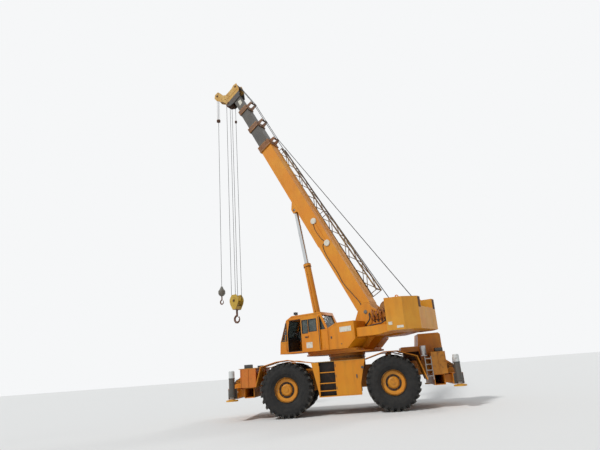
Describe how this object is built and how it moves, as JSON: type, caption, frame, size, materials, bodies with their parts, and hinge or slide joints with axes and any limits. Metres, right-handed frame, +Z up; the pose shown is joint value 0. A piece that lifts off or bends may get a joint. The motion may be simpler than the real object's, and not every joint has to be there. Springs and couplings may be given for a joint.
{
  "type": "mobile crane",
  "caption": "Two-axle rough-terrain mobile crane with slewing upper works, telescopic boom, lift cylinder, stowed lattice jib and extending outriggers",
  "frame": {"origin": "on the ground, midway between the axles, on the carrier's centreline", "axes": "+X to the carrier's front, +Y to its left, +Z up; the upper works are slewed 28 degrees to the right of straight ahead"},
  "size_m": [10.0531, 5.925, 16.7284],
  "materials": {
    "yellow_paint": "weathered construction yellow enamel, semi-gloss",
    "orange_paint": "faded orange enamel, semi-gloss",
    "dark_paint": "worn dark grey enamel with rust at the edges",
    "machined_steel": "machined and greased steel",
    "chrome": "hard-chromed cylinder rod",
    "cast_iron": "rough casting",
    "wire_rope": "greased steel wire rope",
    "lamp_lens": "moulded lens and housing",
    "tinted_glass": "tinted safety glass",
    "black_vinyl": "black vinyl and moulded trim",
    "tyre": "black tyre rubber with dried mud"
  },
  "bodies": {
    "carrier": {"frame": "yellow_paint", "slew_ring": "yellow_paint", "deck": "yellow_paint", "side_tanks": "yellow_paint", "fenders": "yellow_paint", "steps": "yellow_paint", "outrigger_boxes": "yellow_paint", "lockers": "orange_paint", "hood": "yellow_paint", "grille": "dark_paint", "engine": "cast_iron", "exhaust": "dark_paint", "lamps": "lamp_lens", "axles": "dark_paint"},
    "upper_works": {"turntable": "yellow_paint", "cab": "yellow_paint", "cab_glass": "tinted_glass", "cab_fittings": "black_vinyl", "side_boxes": "yellow_paint", "counterweight": "yellow_paint", "winches": "yellow_paint"},
    "sliding_door": {"cab_door": "yellow_paint"},
    "boom_foot_pin": {"boom_pin": "machined_steel"},
    "base_boom": {"boom_base": "yellow_paint", "jib": "dark_paint"},
    "boom_stage_2": {"boom_section_2": "dark_paint"},
    "boom_stage_3": {"boom_section_3": "dark_paint"},
    "boom_stage_4": {"boom_section_4": "dark_paint", "boom_head": "yellow_paint", "whip_sheave": "machined_steel"},
    "head_pin": {"main_sheaves": "machined_steel"},
    "hanging_lines": {"main_falls": "wire_rope", "whip_line": "wire_rope", "rope_switches": "cast_iron"},
    "main_hook_block": {"main_block": "yellow_paint"},
    "whip_hook": {"whip_weight": "yellow_paint"},
    "cylinder_pin": {"lift_pin": "machined_steel"},
    "cylinder_barrel": {"lift_barrel": "yellow_paint"},
    "cylinder_piston": {"lift_piston": "machined_steel"},
    "cylinder_rod": {"lift_rod": "chrome"},
    "beam_body_front_left": {"beam_front_left": "yellow_paint"},
    "jack_body_front_left": {"jack_front_left": "yellow_paint"},
    "beam_body_front_right": {"beam_front_right": "yellow_paint"},
    "jack_body_front_right": {"jack_front_right": "yellow_paint"},
    "beam_body_rear_left": {"beam_rear_left": "yellow_paint"},
    "jack_body_rear_left": {"jack_rear_left": "yellow_paint"},
    "beam_body_rear_right": {"beam_rear_right": "yellow_paint"},
    "jack_body_rear_right": {"jack_rear_right": "yellow_paint"},
    "hub_front_left": {"knuckle_front_left": "dark_paint"},
    "wheel_front_left": {"rim_front_left": "yellow_paint", "tyre_front_left": "tyre"},
    "hub_front_right": {"knuckle_front_right": "dark_paint"},
    "wheel_front_right": {"rim_front_right": "yellow_paint", "tyre_front_right": "tyre"},
    "hub_rear_left": {"knuckle_rear_left": "dark_paint"},
    "wheel_rear_left": {"rim_rear_left": "yellow_paint", "tyre_rear_left": "tyre"},
    "hub_rear_right": {"knuckle_rear_right": "dark_paint"},
    "wheel_rear_right": {"rim_rear_right": "yellow_paint", "tyre_rear_right": "tyre"}
  },
  "joints": [
    {"name": "slew", "type": "hinge", "parent": "carrier", "child": "upper_works", "pos_m": [-0.32, 0, 2], "axis": [0, 0, 1], "continuous": true},
    {"name": "boom_lower", "type": "hinge", "parent": "upper_works", "child": "boom_foot_pin", "pos_m": [-1.37954, 0.56337, 3.47], "axis": [-0.4695, -0.8829, 0], "range_deg": [-62.5, 0]},
    {"name": "boom_raise", "type": "hinge", "parent": "boom_foot_pin", "child": "base_boom", "pos_m": [-1.37954, 0.56337, 3.47], "axis": [-0.4695, -0.8829, 0], "range_deg": [0, 17.5]},
    {"name": "telescope_2", "type": "slide", "parent": "base_boom", "child": "boom_stage_2", "axis": [0.4077, -0.2168, 0.887], "range_m": [-0.8, 6.1]},
    {"name": "telescope_3", "type": "slide", "parent": "boom_stage_2", "child": "boom_stage_3", "axis": [0.4077, -0.2168, 0.887], "range_m": [-0.8, 6.1]},
    {"name": "telescope_4", "type": "slide", "parent": "boom_stage_3", "child": "boom_stage_4", "axis": [0.4077, -0.2168, 0.887], "range_m": [-0.8, 6.1]},
    {"name": "head_swing_low", "type": "hinge", "parent": "boom_stage_4", "child": "head_pin", "pos_m": [4.71513, -2.67723, 15.60369], "axis": [-0.4695, -0.8829, 0], "range_deg": [0, 62.5]},
    {"name": "head_swing_high", "type": "hinge", "parent": "head_pin", "child": "hanging_lines", "pos_m": [4.71513, -2.67723, 15.60369], "axis": [-0.4695, -0.8829, 0], "range_deg": [-17.5, 0]},
    {"name": "main_hoist", "type": "slide", "parent": "hanging_lines", "child": "main_hook_block", "axis": [0, 0, -1], "range_m": [-9.2, 0], "deforming": ["main_falls"]},
    {"name": "whip_hoist", "type": "slide", "parent": "hanging_lines", "child": "whip_hook", "axis": [0, 0, -1], "range_m": [-9.15, 0], "deforming": ["whip_line"]},
    {"name": "cylinder_low", "type": "hinge", "parent": "upper_works", "child": "cylinder_pin", "pos_m": [0.58944, -0.48356, 2.45], "axis": [-0.4695, -0.8829, 0], "range_deg": [-73, 0]},
    {"name": "cylinder_high", "type": "hinge", "parent": "cylinder_pin", "child": "cylinder_barrel", "pos_m": [0.58944, -0.48356, 2.45], "axis": [-0.4695, -0.8829, 0], "range_deg": [0, 14.86]},
    {"name": "stroke_low", "type": "slide", "parent": "cylinder_barrel", "child": "cylinder_piston", "axis": [0.128, -0.0681, 0.9894], "range_m": [-2.3992, 0]},
    {"name": "stroke_high", "type": "slide", "parent": "cylinder_piston", "child": "cylinder_rod", "axis": [0.128, -0.0681, 0.9894], "range_m": [0, 0.6856]},
    {"name": "door_slide", "type": "slide", "parent": "upper_works", "child": "sliding_door", "axis": [0.8829, -0.4695, 0], "range_m": [0, 0.68]},
    {"name": "beam_slide_front_left", "type": "slide", "parent": "carrier", "child": "beam_body_front_left", "axis": [0, 1, 0], "range_m": [0, 1.8]},
    {"name": "jack_stroke_front_left", "type": "slide", "parent": "beam_body_front_left", "child": "jack_body_front_left", "axis": [0, 0, -1], "range_m": [0, 0.68]},
    {"name": "beam_slide_front_right", "type": "slide", "parent": "carrier", "child": "beam_body_front_right", "axis": [0, -1, 0], "range_m": [0, 1.8]},
    {"name": "jack_stroke_front_right", "type": "slide", "parent": "beam_body_front_right", "child": "jack_body_front_right", "axis": [0, 0, -1], "range_m": [0, 0.68]},
    {"name": "beam_slide_rear_left", "type": "slide", "parent": "carrier", "child": "beam_body_rear_left", "axis": [0, 1, 0], "range_m": [0, 1.8]},
    {"name": "jack_stroke_rear_left", "type": "slide", "parent": "beam_body_rear_left", "child": "jack_body_rear_left", "axis": [0, 0, -1], "range_m": [0, 0.68]},
    {"name": "beam_slide_rear_right", "type": "slide", "parent": "carrier", "child": "beam_body_rear_right", "axis": [0, -1, 0], "range_m": [0, 1.8]},
    {"name": "jack_stroke_rear_right", "type": "slide", "parent": "beam_body_rear_right", "child": "jack_body_rear_right", "axis": [0, 0, -1], "range_m": [0, 0.68]},
    {"name": "steer_front_left", "type": "hinge", "parent": "carrier", "child": "hub_front_left", "pos_m": [1.875, 1, 0.937], "axis": [0, 0, 1], "range_deg": [-24, 24]},
    {"name": "roll_front_left", "type": "hinge", "parent": "hub_front_left", "child": "wheel_front_left", "pos_m": [1.875, 1.175, 0.937], "axis": [0, 1, 0], "continuous": true},
    {"name": "steer_front_right", "type": "hinge", "parent": "carrier", "child": "hub_front_right", "pos_m": [1.875, -1, 0.937], "axis": [0, 0, 1], "range_deg": [-24, 24]},
    {"name": "roll_front_right", "type": "hinge", "parent": "hub_front_right", "child": "wheel_front_right", "pos_m": [1.875, -1.175, 0.937], "axis": [0, 1, 0], "continuous": true},
    {"name": "steer_rear_left", "type": "hinge", "parent": "carrier", "child": "hub_rear_left", "pos_m": [-1.875, 1, 0.937], "axis": [0, 0, 1], "range_deg": [-24, 24]},
    {"name": "roll_rear_left", "type": "hinge", "parent": "hub_rear_left", "child": "wheel_rear_left", "pos_m": [-1.875, 1.175, 0.937], "axis": [0, 1, 0], "continuous": true},
    {"name": "steer_rear_right", "type": "hinge", "parent": "carrier", "child": "hub_rear_right", "pos_m": [-1.875, -1, 0.937], "axis": [0, 0, 1], "range_deg": [-24, 24]},
    {"name": "roll_rear_right", "type": "hinge", "parent": "hub_rear_right", "child": "wheel_rear_right", "pos_m": [-1.875, -1.175, 0.937], "axis": [0, 1, 0], "continuous": true}
  ],
  "couplings": [
    {"joint": "telescope_3", "follows": "telescope_2", "ratio": 1},
    {"joint": "telescope_4", "follows": "telescope_2", "ratio": 1},
    {"joint": "head_swing_low", "follows": "boom_lower", "ratio": -1},
    {"joint": "head_swing_high", "follows": "boom_raise", "ratio": -1},
    {"joint": "cylinder_low", "follows": "boom_lower", "ratio": 1.1672},
    {"joint": "cylinder_high", "follows": "boom_raise", "ratio": 0.84621},
    {"joint": "stroke_low", "follows": "boom_lower", "m_per_rad": 2.1976},
    {"joint": "stroke_high", "follows": "boom_raise", "m_per_rad": 2.2382},
    {"joint": "steer_front_right", "follows": "steer_front_left", "ratio": 1},
    {"joint": "steer_rear_right", "follows": "steer_rear_left", "ratio": 1}
  ]
}
